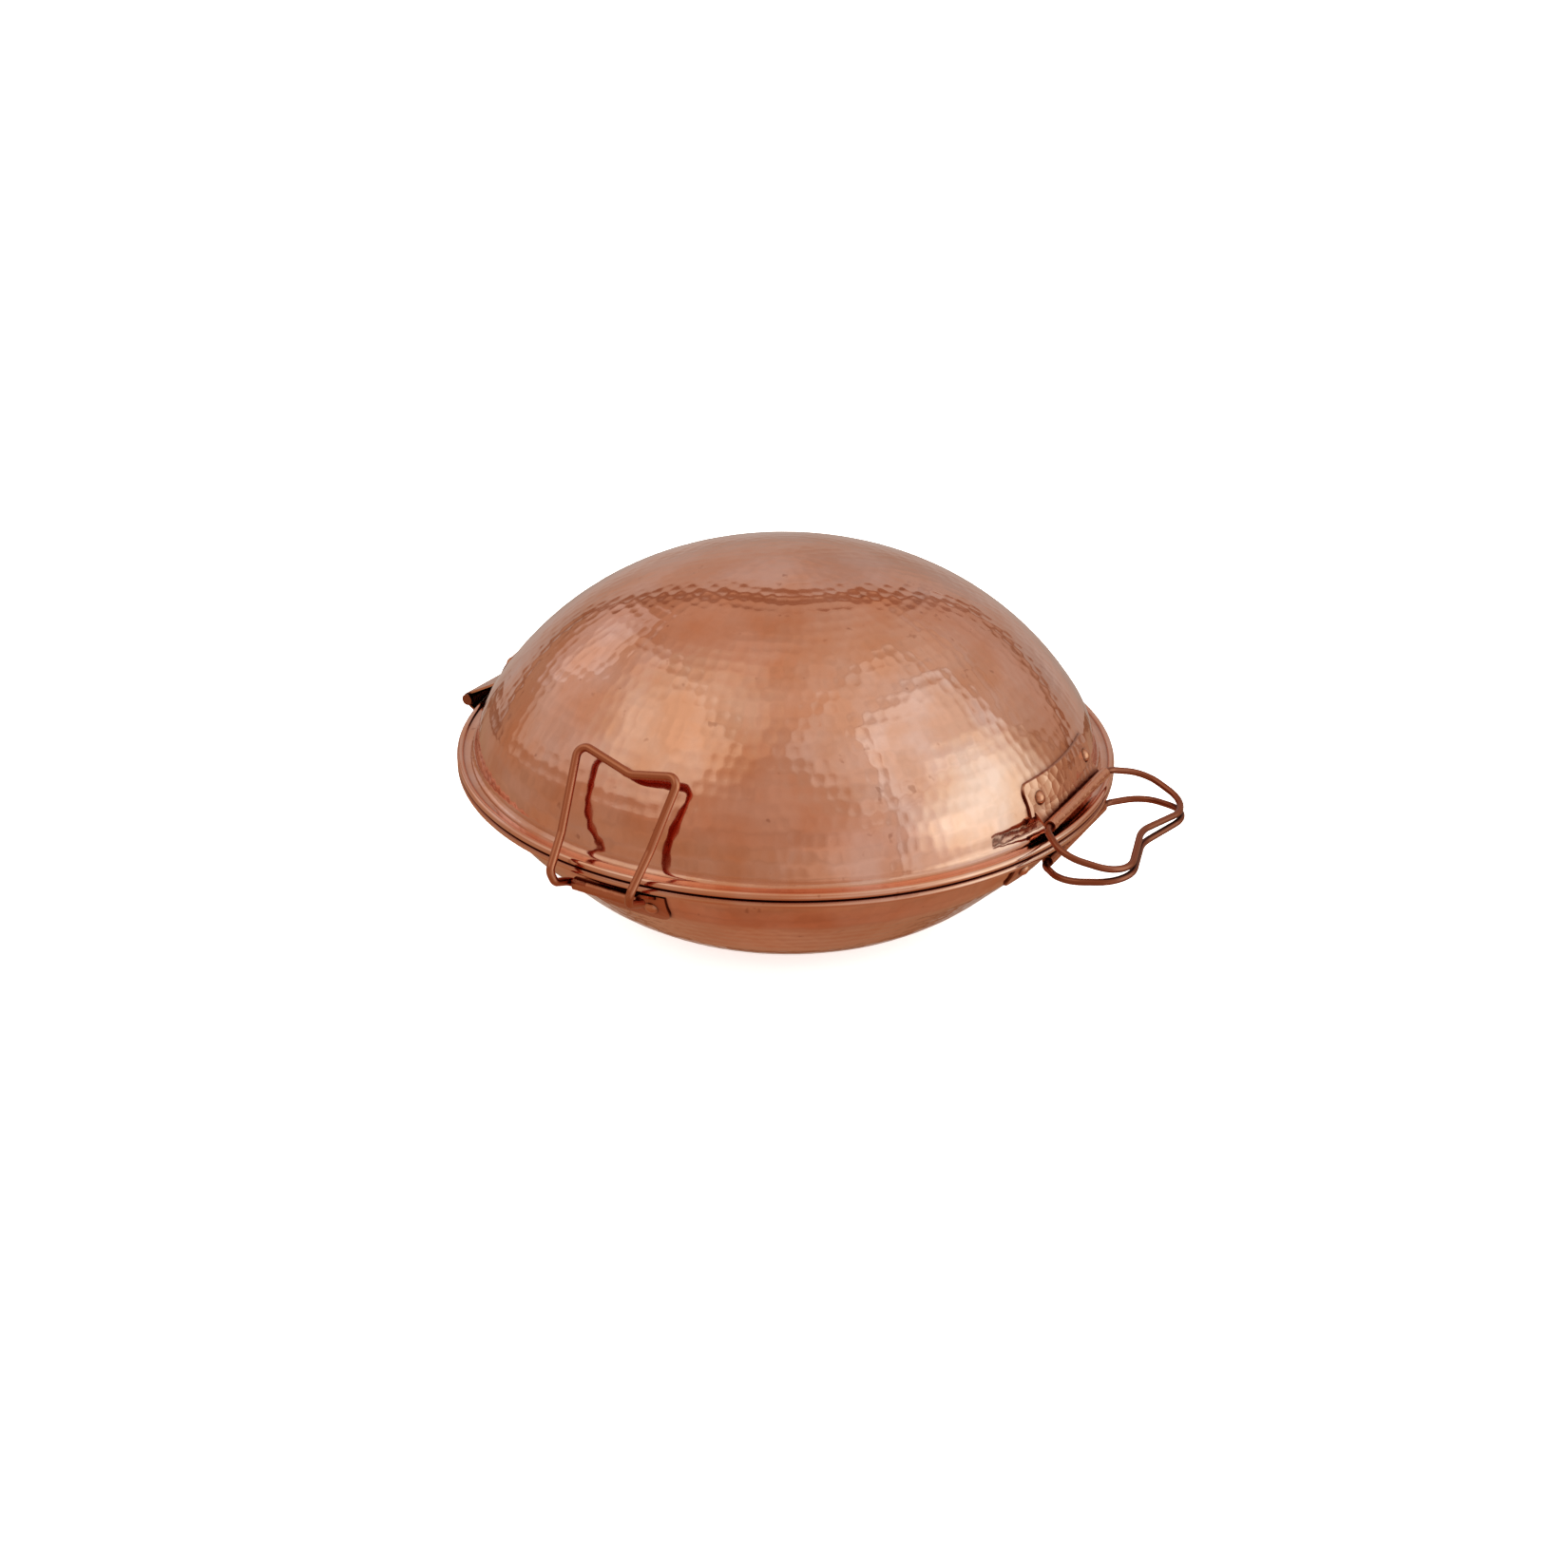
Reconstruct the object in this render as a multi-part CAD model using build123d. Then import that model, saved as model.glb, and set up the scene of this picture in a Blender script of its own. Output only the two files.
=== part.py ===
from build123d import *
from math import acos, asin, atan2, cos, degrees, hypot, radians, sin, sqrt, tan
import os

os.makedirs("parts", exist_ok=True)

# A cataplana: two domed copper shells, hinged at the back (+Y) and latched at both sides (-X and +X),
# with a wire handle on each shell at the front (-Y). It stands on the flat of the lower shell.
# Sections are drawn in the plane of the axis, as (radius, height above or below the seam).

# Rim and sheet
RIM_DIAMETER = 300.0
SHEET = 1.0
RIM_WIRE_RADIUS = 0.65
SEAM_GAP = 0.3
ROLL_LAP = 0.04
BEAD_RADIUS = RIM_WIRE_RADIUS + SHEET
BEAD_CENTRE = RIM_DIAMETER / 2 - BEAD_RADIUS
BEAD_HEIGHT = BEAD_RADIUS + SEAM_GAP / 2

# The flange runs out to the bead, and a small cove turns it up into the wall
FLANGE_HEIGHT = 2.5
COVE_RADIUS = 4.0

# Upper shell: crown, shoulder and wall are three arcs, each tangent to the next
DOME_HEIGHT = 92.15
CROWN_SLOPE = 21.94
SHOULDER_SLOPE = 56.72
DOME_WALL_RADIUS = 40.0
DOME_WALL_HEIGHT = 2.07
DOME_FLANGE_WIDTH = 8.88

# Lower shell: flat base, rounded heel, straight flare, wall
PAN_DEPTH = 72.5
PAN_SIDE_WIDTH = 108.0
BASE_RADIUS = RIM_DIAMETER / 2 - PAN_SIDE_WIDTH
HEEL_RADIUS = 94.0
FLARE_SLOPE = 45.0
PAN_WALL_RADIUS = 30.0
PAN_FLANGE_WIDTH = 14.21

# Rivets
RIVET_HEAD_RADIUS = 3.15
RIVET_HEAD_HEIGHT = 1.9
RIVET_SHANK_RADIUS = 1.5
RIVET_TAIL_RADIUS = 2.6
RIVET_TAIL_HEIGHT = 0.9
RIVET_SINK = 0.6

# Handle loops and their brackets
PIVOT_CLEARANCE = 0.05
PLATE_RIVETS = 2
LOOP_WIRE_RADIUS = 1.5
LOOP_TUBE_HALF = 30.0
LOOP_NECK_HALF = 33.9
LOOP_SIDE_HALF = 46.1
LOOP_SIDE_REACH = 13.1
LOOP_TOE_HALF = 37.0
LOOP_TOE_REACH = 40.1
LOOP_DIP_REACH = 30.4
LOOP_NECK_BEND_RADIUS = 8.5
LOOP_SIDE_BEND_RADIUS = 15.0
LOOP_TOE_BEND_RADIUS = 14.8
LOOP_DIP_BEND_RADIUS = 20.9
LOOP_PIVOT_INSET = 5.6
UPPER_TUBE_CLEARANCE = 2.8
LOWER_TUBE_CLEARANCE = 1.8
LOOP_TUBE_RADIUS = LOOP_WIRE_RADIUS + PIVOT_CLEARANCE + SHEET
LOOP_PIVOT_RADIUS = RIM_DIAMETER / 2 - LOOP_PIVOT_INSET
UPPER_LOOP_HEIGHT = BEAD_HEIGHT + BEAD_RADIUS + UPPER_TUBE_CLEARANCE + LOOP_TUBE_RADIUS
LOWER_LOOP_HEIGHT = BEAD_HEIGHT + BEAD_RADIUS + LOWER_TUBE_CLEARANCE + LOOP_TUBE_RADIUS
UPPER_LOOP_DROOP = 14.0
LOWER_LOOP_RISE = 6.3
WIRE_END_GAP = 0.5
HANDLE_PLATE_HALF = 32.5
HANDLE_PLATE_TOP = 25.0
HANDLE_PLATE_FOOT = 12.0
HANDLE_PLATE_CORNER = 4.0
HANDLE_LEAVES_WALL = 13.4
HANDLE_RIVET_SPREAD = 24.3
HANDLE_RIVET_HEIGHT = 17.5

# Latch bails and their brackets
BAIL_WIRE_RADIUS = 1.8
BAIL_PIVOT_INSET = 2.4
BAIL_TUBE_CLEARANCE = 2.0
BAIL_TUBE_RADIUS = BAIL_WIRE_RADIUS + PIVOT_CLEARANCE + SHEET
BAIL_PIVOT_RADIUS = RIM_DIAMETER / 2 - BAIL_PIVOT_INSET
BAIL_PIVOT_DEPTH = BEAD_HEIGHT + BEAD_RADIUS + BAIL_TUBE_CLEARANCE + BAIL_TUBE_RADIUS
BAIL_TUBE_HALF = 15.4
BAIL_NECK_HALF = 18.3
BAIL_KNEE_PROUD = 8.1
BAIL_KNEE_DEPTH = 3.8
BAIL_KNEE_HALF = 18.0
BAIL_ELBOW_PROUD = 9.6
BAIL_ELBOW_HEIGHT = 1.5
BAIL_ELBOW_HALF = 19.4
BAIL_SHOULDER_STAND_OFF = 8.0
BAIL_SHOULDER_SLOPE = 49.5
BAIL_SHOULDER_HALF = 25.0
BAIL_DIP_STAND_OFF = 3.2
BAIL_DIP_SLOPE = 51.2
BAIL_NECK_BEND_RADIUS = 2.8
BAIL_KNEE_BEND_RADIUS = 3.5
BAIL_ELBOW_BEND_RADIUS = 4.5
BAIL_SHOULDER_BEND_RADIUS = 4.0
BAIL_DIP_BEND_RADIUS = 9.0
LATCH_PLATE_HALF = 19.5
LATCH_PLATE_TOP = 27.0
LATCH_PLATE_FOOT = 12.0
LATCH_PLATE_CORNER = 6.5
LATCH_LEAVES_WALL = 13.4
LATCH_RIVET_SPREAD = 12.0
LATCH_RIVET_HEIGHT = 18.8

# Hinge
LEAF_RIVETS = 3
KNUCKLE_RADIUS = 3.0
KNUCKLE_CLEARANCE = 0.4
HINGE_AXIS_RADIUS = RIM_DIAMETER / 2 + KNUCKLE_CLEARANCE + KNUCKLE_RADIUS
HINGE_AXIS_HEIGHT = 1.0
KNUCKLE_COUNT = 5
KNUCKLE_GAP = 0.4
NOTCH_CLEARANCE = 0.7
HINGE_HALF = 37.5
HINGE_CORNER = 5.0
UPPER_LEAF_TOP = 26.5
UPPER_LEAF_FOOT = 12.0
UPPER_LEAF_LEAVES_WALL = 13.6
UPPER_LEAF_RIVET_HEIGHT = 20.0
LOWER_LEAF_TOP = 31.5
LOWER_LEAF_FOOT = 18.0
LOWER_LEAF_LEAVES_WALL = 19.5
LOWER_LEAF_RIVET_HEIGHT = 25.3
HINGE_RIVET_SPREAD = 27.0
PIN_OVERHANG = 0.6
PIN_HEAD_RADIUS = 2.7
PIN_HEAD_HEIGHT = 0.9


def save(shape, name):
    """Lifts a finished piece from the seam to the table and writes it."""
    export_step(Pos(0, 0, PAN_DEPTH) * shape, f"parts/{name}.step")


# ---------------------------------------------------------------- the two shells

def arc(centre, radius, start, end):
    """Arc of a section; its ends are surface slopes in degrees, 0 where the surface is level."""
    def point(slope):
        return (centre[0] + radius * sin(radians(slope)), centre[1] + radius * cos(radians(slope)))
    return ThreePointArc(point(start), point((start + end) / 2), point(end))


def beyond(centre, radius, slope, next_radius):
    """Centre of the next tangent arc, with the same side outside."""
    shift = radius - next_radius
    return (centre[0] + shift * sin(radians(slope)), centre[1] + shift * cos(radians(slope)))


def rim_edges(wall_centre, wall_radius, wall_start, offset):
    """Wall, cove and flange, moved outward by the offset."""
    reach = wall_radius + COVE_RADIUS
    wall_end = degrees(acos((FLANGE_HEIGHT + COVE_RADIUS - wall_centre[1]) / reach))
    cove = (wall_centre[0] + reach * sin(radians(wall_end)), FLANGE_HEIGHT + COVE_RADIUS)
    flange = FLANGE_HEIGHT + offset
    return [
        arc(wall_centre, wall_radius + offset, wall_start, wall_end),
        arc(cove, offset - COVE_RADIUS, wall_end, 0),
        Line((cove[0], flange), (BEAD_CENTRE, flange)),
    ]


def dome_radii(wall_centre):
    """Crown and shoulder radii that carry the section from its height to its wall."""
    crown, shoulder = radians(CROWN_SLOPE), radians(SHOULDER_SLOPE)
    across = wall_centre[0] + DOME_WALL_RADIUS * sin(shoulder)
    upward = wall_centre[1] + DOME_WALL_RADIUS * cos(shoulder) - DOME_HEIGHT
    crown_across, crown_upward = sin(crown), cos(crown) - 1
    shoulder_across, shoulder_upward = sin(shoulder) - sin(crown), cos(shoulder) - cos(crown)
    scale = crown_across * shoulder_upward - crown_upward * shoulder_across
    crown_radius = (across * shoulder_upward - upward * shoulder_across) / scale
    shoulder_radius = (upward * crown_across - across * crown_upward) / scale
    return crown_radius, shoulder_radius


DOME_WALL_CENTRE = (RIM_DIAMETER / 2 - DOME_FLANGE_WIDTH - DOME_WALL_RADIUS, DOME_WALL_HEIGHT)
CROWN_RADIUS, SHOULDER_RADIUS = dome_radii(DOME_WALL_CENTRE)
CROWN_CENTRE = (0, DOME_HEIGHT - CROWN_RADIUS)
SHOULDER_CENTRE = beyond(CROWN_CENTRE, CROWN_RADIUS, CROWN_SLOPE, SHOULDER_RADIUS)

HEEL_CENTRE = (BASE_RADIUS, PAN_DEPTH - HEEL_RADIUS)
UNFLARED_CENTRE = beyond(HEEL_CENTRE, HEEL_RADIUS, FLARE_SLOPE, PAN_WALL_RADIUS)
FLARE_REACH = RIM_DIAMETER / 2 - PAN_FLANGE_WIDTH - PAN_WALL_RADIUS - UNFLARED_CENTRE[0]
FLARE_DROP = FLARE_REACH * tan(radians(FLARE_SLOPE))
PAN_WALL_CENTRE = (UNFLARED_CENTRE[0] + FLARE_REACH, UNFLARED_CENTRE[1] - FLARE_DROP)


def dome_edges(offset):
    """Section of the upper shell from the crown out to the bead."""
    return [
        arc(CROWN_CENTRE, CROWN_RADIUS + offset, 0, CROWN_SLOPE),
        arc(SHOULDER_CENTRE, SHOULDER_RADIUS + offset, CROWN_SLOPE, SHOULDER_SLOPE),
        *rim_edges(DOME_WALL_CENTRE, DOME_WALL_RADIUS, SHOULDER_SLOPE, offset),
    ]


def pan_edges(offset):
    """Section of the lower shell from the base out to the bead, drawn upside down."""
    heel = arc(HEEL_CENTRE, HEEL_RADIUS + offset, 0, FLARE_SLOPE)
    rim = rim_edges(PAN_WALL_CENTRE, PAN_WALL_RADIUS, FLARE_SLOPE, offset)
    base = Line((0, PAN_DEPTH + offset), heel @ 0)
    return [base, heel, Line(heel @ 1, rim[0] @ 0), *rim]


def body_of(edges):
    """Solid filled with everything between a section and the seam."""
    start = edges[0] @ 0
    end = edges[-1] @ 1
    closing = [Line(end, (end.X, 0)), Line((end.X, 0), (0, 0)), Line((0, 0), start)]
    return revolve(Plane.XZ * make_face(edges + closing), Axis.Z)


def bead_ring(radius):
    """Solid ring along the rim."""
    return revolve(Plane.XZ * Pos(BEAD_CENTRE, BEAD_HEIGHT) * Circle(radius), Axis.Z)


def shell_of(section_edges):
    """Sheet of one shell with its rim rolled over the wire."""
    outer = section_edges(0)
    inner = section_edges(-SHEET)
    ends = [Line(outer[-1] @ 1, inner[-1] @ 1), Line(inner[0] @ 0, outer[0] @ 0)]
    sheet = revolve(Plane.XZ * make_face(outer + inner + ends), Axis.Z)
    return sheet + bead_ring(BEAD_RADIUS) - bead_ring(RIM_WIRE_RADIUS)


# ---------------------------------------------------------------- riveted brackets, made at the front

def wall_point(side, height, offset):
    """Radius of the wall at a height, and its slope there."""
    centre, radius = (DOME_WALL_CENTRE, DOME_WALL_RADIUS) if side == "dome" else (
        PAN_WALL_CENTRE, PAN_WALL_RADIUS)
    slope = degrees(acos((height - centre[1]) / (radius + offset)))
    return centre[0] + (radius + offset) * sin(radians(slope)), slope


FILLED = {"dome": body_of(dome_edges(0)), "pan": body_of(pan_edges(0))}
PLATED = {"dome": body_of(dome_edges(SHEET)), "pan": body_of(pan_edges(SHEET))}
LINED = {"dome": body_of(dome_edges(-SHEET)), "pan": body_of(pan_edges(-SHEET))}
FAR = RIM_DIAMETER


def plate(side, half, top, foot, corner):
    """Sheet plate that hugs the wall, with its two upper corners rounded."""
    outline = Pos(0, (top + foot) / 2) * Rectangle(2 * half, top - foot)
    outline = fillet(outline.vertices().group_by(Axis.Y)[-1], corner)
    window = extrude(Plane.XZ * outline, FAR)
    return (PLATED[side] - FILLED[side]) & window


def apron(side, half, leave_height, pivot, tube_radius, over):
    """Sheet from the wall to the rolled tube; over is 1 across its outer side, -1 beneath it."""
    middle = tube_radius - SHEET / 2 - ROLL_LAP
    radius = wall_point(side, leave_height, SHEET / 2)[0]
    faces = []
    for x in (-half, 0, half):
        wall = sqrt(radius**2 - x**2)
        run, rise = pivot[0] - wall, pivot[1] - leave_height
        distance = hypot(run, rise)
        heading = atan2(rise, run) + over * asin(middle / distance)
        along = Vector(0, -cos(heading), sin(heading))
        across = Vector(0, sin(heading), cos(heading)) * (SHEET / 2)
        start = Vector(x, -wall, leave_height) - along * SHEET
        end = start + along * (SHEET + sqrt(distance**2 - middle**2))
        corners = [start + across, end + across, end - across, start - across]
        faces.append(make_face(Polyline(*corners, close=True)))
    return loft(faces) - FILLED[side]


def rod(radius, start, end, pivot):
    """Solid rod along X on a pivot axis."""
    return Pos(start, -pivot[0], pivot[1]) * extrude(Plane.YZ * Circle(radius), end - start)


def rivet_frame(side, x, height):
    """Plane on the shell's outer surface, with its Z axis along the rivet."""
    radius, slope = wall_point(side, height, 0)
    turn = degrees(asin(x / radius))
    outward = Vector(0, -sin(radians(slope)), cos(radians(slope))).rotate(Axis.Z, turn)
    return Plane(origin=Vector(0, -radius, height).rotate(Axis.Z, turn), z_dir=outward)


def shank(side, x, height):
    """Body of one rivet, from its tail to its head."""
    length = 2 * SHEET + RIVET_TAIL_HEIGHT
    start = Pos(0, 0, -SHEET - RIVET_TAIL_HEIGHT / 2)
    return rivet_frame(side, x, height) * start * Cylinder(
        RIVET_SHANK_RADIUS, length, align=(Align.CENTER, Align.CENTER, Align.MIN))


def rivet(side, x, height):
    """Domed head on the plate, shank through both sheets, flat tail inside."""
    sphere = (RIVET_HEAD_RADIUS**2 + RIVET_HEAD_HEIGHT**2) / (2 * RIVET_HEAD_HEIGHT)
    dome = Pos(0, 0, SHEET + RIVET_HEAD_HEIGHT - sphere) * Sphere(sphere)
    stem = Pos(0, 0, SHEET - RIVET_SINK) * Cylinder(
        RIVET_HEAD_RADIUS, RIVET_HEAD_HEIGHT + RIVET_SINK, align=(Align.CENTER, Align.CENTER, Align.MIN))
    head = rivet_frame(side, x, height) * (dome & stem) - PLATED[side]
    tail = rivet_frame(side, x, height) * Pos(0, 0, -SHEET - RIVET_TAIL_HEIGHT) * Cylinder(
        RIVET_TAIL_RADIUS, RIVET_TAIL_HEIGHT + RIVET_SINK, align=(Align.CENTER, Align.CENTER, Align.MIN))
    return head + shank(side, x, height) + (tail & LINED[side])


def rivet_group(side, columns, spread, height):
    """The rivets of one plate, as separate solids."""
    step = 2 * spread / (columns - 1)
    return [rivet(side, column * step - spread, height) for column in range(columns)]


def shanks(side, columns, spread, height):
    """What the rivets of one plate take out of the sheets."""
    step = 2 * spread / (columns - 1)
    return [shank(side, column * step - spread, height) for column in range(columns)]


def pivot_bracket(side, plate_size, leave_height, pivot, tube_half, wire_radius, rivets):
    """Riveted plate whose edge is rolled into a tube around a pivoting wire."""
    bore = wire_radius + PIVOT_CLEARANCE
    tube_radius = bore + SHEET
    sheet = plate(side, *plate_size)
    sheet += apron(side, tube_half, leave_height, pivot, tube_radius, -1)
    sheet += rod(tube_radius, -tube_half, tube_half, pivot)
    sheet -= rod(bore, -tube_half, tube_half, pivot)
    return sheet - rivets


def knuckle_span(index):
    """Ends of one knuckle along the hinge pin."""
    pitch = 2 * HINGE_HALF / KNUCKLE_COUNT
    return index * pitch - HINGE_HALF + KNUCKLE_GAP / 2, (index + 1) * pitch - HINGE_HALF - KNUCKLE_GAP / 2


def hinge_leaf(side, plate_size, leave_height, axis_height, knuckles, rivets):
    """Riveted leaf whose edge is rolled into knuckles and notched for the other leaf's."""
    pivot = (HINGE_AXIS_RADIUS, axis_height)
    leaf = plate(side, *plate_size)
    leaf += apron(side, HINGE_HALF, leave_height, pivot, KNUCKLE_RADIUS, 1)
    for index in range(KNUCKLE_COUNT):
        start, end = knuckle_span(index)
        if index in knuckles:
            leaf += rod(KNUCKLE_RADIUS, start, end, pivot)
        else:
            notch = KNUCKLE_RADIUS + NOTCH_CLEARANCE
            leaf -= rod(notch, start - KNUCKLE_GAP, end + KNUCKLE_GAP, pivot)
    leaf -= rod(KNUCKLE_RADIUS - SHEET, -HINGE_HALF, HINGE_HALF, pivot)
    return leaf - rivets


# ---------------------------------------------------------------- bent wire

def bent_wire(points, bends, radius):
    """Round wire along straight runs joined by bends."""
    path = FilletPolyline(*points, radius=bends)
    section = Plane(origin=path @ 0, z_dir=path % 0) * Circle(radius)
    return sweep(section, path=path)


def there_and_back(half):
    """A path's first half, then its mirror image across the plane x = 0."""
    middle = [] if half[-1][0] else [half[-1]]
    rest = half[:-1] if middle else half
    return rest + middle + [(-point[0], *point[1:]) for point in reversed(rest)]


def handle_loop(height, tilt):
    """Kidney-shaped wire loop on its pivot axis; tilt is how far it rises outward."""
    outward = Vector(0, -cos(radians(tilt)), sin(radians(tilt)))
    half = [
        (WIRE_END_GAP, 0),
        (LOOP_NECK_HALF, 0),
        (LOOP_SIDE_HALF, LOOP_SIDE_REACH),
        (LOOP_TOE_HALF, LOOP_TOE_REACH),
        (0, LOOP_DIP_REACH),
    ]
    pivot = Vector(0, -LOOP_PIVOT_RADIUS, height)
    points = [pivot + Vector(x, 0, 0) + outward * out for x, out in there_and_back(half)]
    bends = [LOOP_NECK_BEND_RADIUS, LOOP_SIDE_BEND_RADIUS, LOOP_TOE_BEND_RADIUS]
    return bent_wire(points, bends + [LOOP_DIP_BEND_RADIUS] + bends[::-1], LOOP_WIRE_RADIUS)


def over_dome(stand_off, slope, across):
    """Point that stands off the dome's shoulder where the dome has a slope."""
    reach = SHOULDER_RADIUS + stand_off
    radius = SHOULDER_CENTRE[0] + reach * sin(radians(slope))
    height = SHOULDER_CENTRE[1] + reach * cos(radians(slope))
    return across, -sqrt(radius**2 - across**2), height


def latch_bail():
    """Wire bail that stands up over the rim and lies along the dome, at the front."""
    half = [
        (WIRE_END_GAP, -BAIL_PIVOT_RADIUS, -BAIL_PIVOT_DEPTH),
        (BAIL_NECK_HALF, -BAIL_PIVOT_RADIUS, -BAIL_PIVOT_DEPTH),
        (BAIL_KNEE_HALF, -RIM_DIAMETER / 2 - BAIL_KNEE_PROUD, -BAIL_KNEE_DEPTH),
        (BAIL_ELBOW_HALF, -RIM_DIAMETER / 2 - BAIL_ELBOW_PROUD, BAIL_ELBOW_HEIGHT),
        over_dome(BAIL_SHOULDER_STAND_OFF, BAIL_SHOULDER_SLOPE, BAIL_SHOULDER_HALF),
        over_dome(BAIL_DIP_STAND_OFF, BAIL_DIP_SLOPE, 0),
    ]
    bends = [BAIL_NECK_BEND_RADIUS, BAIL_KNEE_BEND_RADIUS, BAIL_ELBOW_BEND_RADIUS, BAIL_SHOULDER_BEND_RADIUS]
    return bent_wire(there_and_back(half), bends + [BAIL_DIP_BEND_RADIUS] + bends[::-1], BAIL_WIRE_RADIUS)


# ---------------------------------------------------------------- what each shell carries

def under(shape):
    """Turns a piece made above the seam into the same piece below it."""
    return mirror(shape, about=Plane.XY)


FRONT_TO_LEFT = Rot(0, 0, -90)
FRONT_TO_RIGHT = Rot(0, 0, 90)
FRONT_TO_BACK = Rot(0, 0, 180)

handle_rivets = (HANDLE_RIVET_SPREAD, HANDLE_RIVET_HEIGHT)
latch_rivets = (LATCH_RIVET_SPREAD, LATCH_RIVET_HEIGHT)
upper_leaf_rivets = (HINGE_RIVET_SPREAD, UPPER_LEAF_RIVET_HEIGHT)
lower_leaf_rivets = (HINGE_RIVET_SPREAD, LOWER_LEAF_RIVET_HEIGHT)
handle_plate = (HANDLE_PLATE_HALF, HANDLE_PLATE_TOP, HANDLE_PLATE_FOOT, HANDLE_PLATE_CORNER)
latch_plate = (LATCH_PLATE_HALF, LATCH_PLATE_TOP, LATCH_PLATE_FOOT, LATCH_PLATE_CORNER)
upper_leaf = (HINGE_HALF, UPPER_LEAF_TOP, UPPER_LEAF_FOOT, HINGE_CORNER)
lower_leaf = (HINGE_HALF, LOWER_LEAF_TOP, LOWER_LEAF_FOOT, HINGE_CORNER)

# Upper shell
dome_holes = shanks("dome", PLATE_RIVETS, *handle_rivets)
dome_holes += [FRONT_TO_BACK * hole for hole in shanks("dome", LEAF_RIVETS, *upper_leaf_rivets)]
save(shell_of(dome_edges) - dome_holes, "upper_shell")
save(bead_ring(RIM_WIRE_RADIUS), "upper_rim_wire")

# Lower shell
pan_holes = shanks("pan", PLATE_RIVETS, *handle_rivets)
pan_holes += [FRONT_TO_BACK * hole for hole in shanks("pan", LEAF_RIVETS, *lower_leaf_rivets)]
pan_holes += [FRONT_TO_LEFT * hole for hole in shanks("pan", PLATE_RIVETS, *latch_rivets)]
pan_holes += [FRONT_TO_RIGHT * hole for hole in shanks("pan", PLATE_RIVETS, *latch_rivets)]
save(under(shell_of(pan_edges) - pan_holes), "lower_shell")
save(under(bead_ring(RIM_WIRE_RADIUS)), "lower_rim_wire")

# Handles
upper_pivot = (LOOP_PIVOT_RADIUS, UPPER_LOOP_HEIGHT)
upper_bracket = pivot_bracket("dome", handle_plate, HANDLE_LEAVES_WALL, upper_pivot, LOOP_TUBE_HALF,
                              LOOP_WIRE_RADIUS, shanks("dome", PLATE_RIVETS, *handle_rivets))
save(upper_bracket, "handle_bracket_upper")
save(Compound(rivet_group("dome", PLATE_RIVETS, *handle_rivets)), "handle_rivets_upper")
save(handle_loop(UPPER_LOOP_HEIGHT, -UPPER_LOOP_DROOP), "handle_loop_upper")

lower_pivot = (LOOP_PIVOT_RADIUS, LOWER_LOOP_HEIGHT)
lower_bracket = pivot_bracket("pan", handle_plate, HANDLE_LEAVES_WALL, lower_pivot, LOOP_TUBE_HALF,
                              LOOP_WIRE_RADIUS, shanks("pan", PLATE_RIVETS, *handle_rivets))
save(under(lower_bracket), "handle_bracket_lower")
save(under(Compound(rivet_group("pan", PLATE_RIVETS, *handle_rivets))), "handle_rivets_lower")
save(handle_loop(-LOWER_LOOP_HEIGHT, LOWER_LOOP_RISE), "handle_loop_lower")

# Latches
latch_pivot = (BAIL_PIVOT_RADIUS, BAIL_PIVOT_DEPTH)
latch_bracket = under(pivot_bracket("pan", latch_plate, LATCH_LEAVES_WALL, latch_pivot, BAIL_TUBE_HALF,
                                    BAIL_WIRE_RADIUS, shanks("pan", PLATE_RIVETS, *latch_rivets)))
latch_rivet_set = under(Compound(rivet_group("pan", PLATE_RIVETS, *latch_rivets)))
bail = latch_bail()
for turn, name in ((FRONT_TO_LEFT, "left"), (FRONT_TO_RIGHT, "right")):
    save(turn * latch_bracket, f"latch_bracket_{name}")
    save(turn * latch_rivet_set, f"latch_rivets_{name}")
    save(turn * bail, f"latch_bail_{name}")

# Hinge; the pan's leaf has the outer and middle knuckles
hinge_upper = hinge_leaf("dome", upper_leaf, UPPER_LEAF_LEAVES_WALL, HINGE_AXIS_HEIGHT, (1, 3),
                         shanks("dome", LEAF_RIVETS, *upper_leaf_rivets))
save(FRONT_TO_BACK * hinge_upper, "hinge_leaf_upper")
save(FRONT_TO_BACK * Compound(rivet_group("dome", LEAF_RIVETS, *upper_leaf_rivets)), "hinge_rivets_upper")
hinge_lower = hinge_leaf("pan", lower_leaf, LOWER_LEAF_LEAVES_WALL, -HINGE_AXIS_HEIGHT, (0, 2, 4),
                         shanks("pan", LEAF_RIVETS, *lower_leaf_rivets))
save(FRONT_TO_BACK * under(hinge_lower), "hinge_leaf_lower")
lower_leaf_rivet_set = under(Compound(rivet_group("pan", LEAF_RIVETS, *lower_leaf_rivets)))
save(FRONT_TO_BACK * lower_leaf_rivet_set, "hinge_rivets_lower")

pin_pivot = (HINGE_AXIS_RADIUS, HINGE_AXIS_HEIGHT)
pin_half = HINGE_HALF + PIN_OVERHANG
pin_end = pin_half + PIN_HEAD_HEIGHT
pin = rod(KNUCKLE_RADIUS - SHEET - PIVOT_CLEARANCE, -pin_half, pin_half, pin_pivot)
pin += rod(PIN_HEAD_RADIUS, pin_half, pin_end, pin_pivot)
pin += rod(PIN_HEAD_RADIUS, -pin_end, -pin_half, pin_pivot)
save(FRONT_TO_BACK * pin, "hinge_pin")
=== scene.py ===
# %% [markdown]
# A cataplana is a copper pan shaped like a clam: two domed shells, hinged at the back and held shut
# by a wire bail at each side. Its looks are mostly one thing, polished copper that was closed up
# blow by blow with a planishing hammer, so most of this lesson is about those blows. The solid model
# of the pan comes in as a fixed frame. Each piece made here sits on that frame, in metres.

# %% The frame
import math

import bpy
import numpy as np
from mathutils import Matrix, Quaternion, Vector


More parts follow.
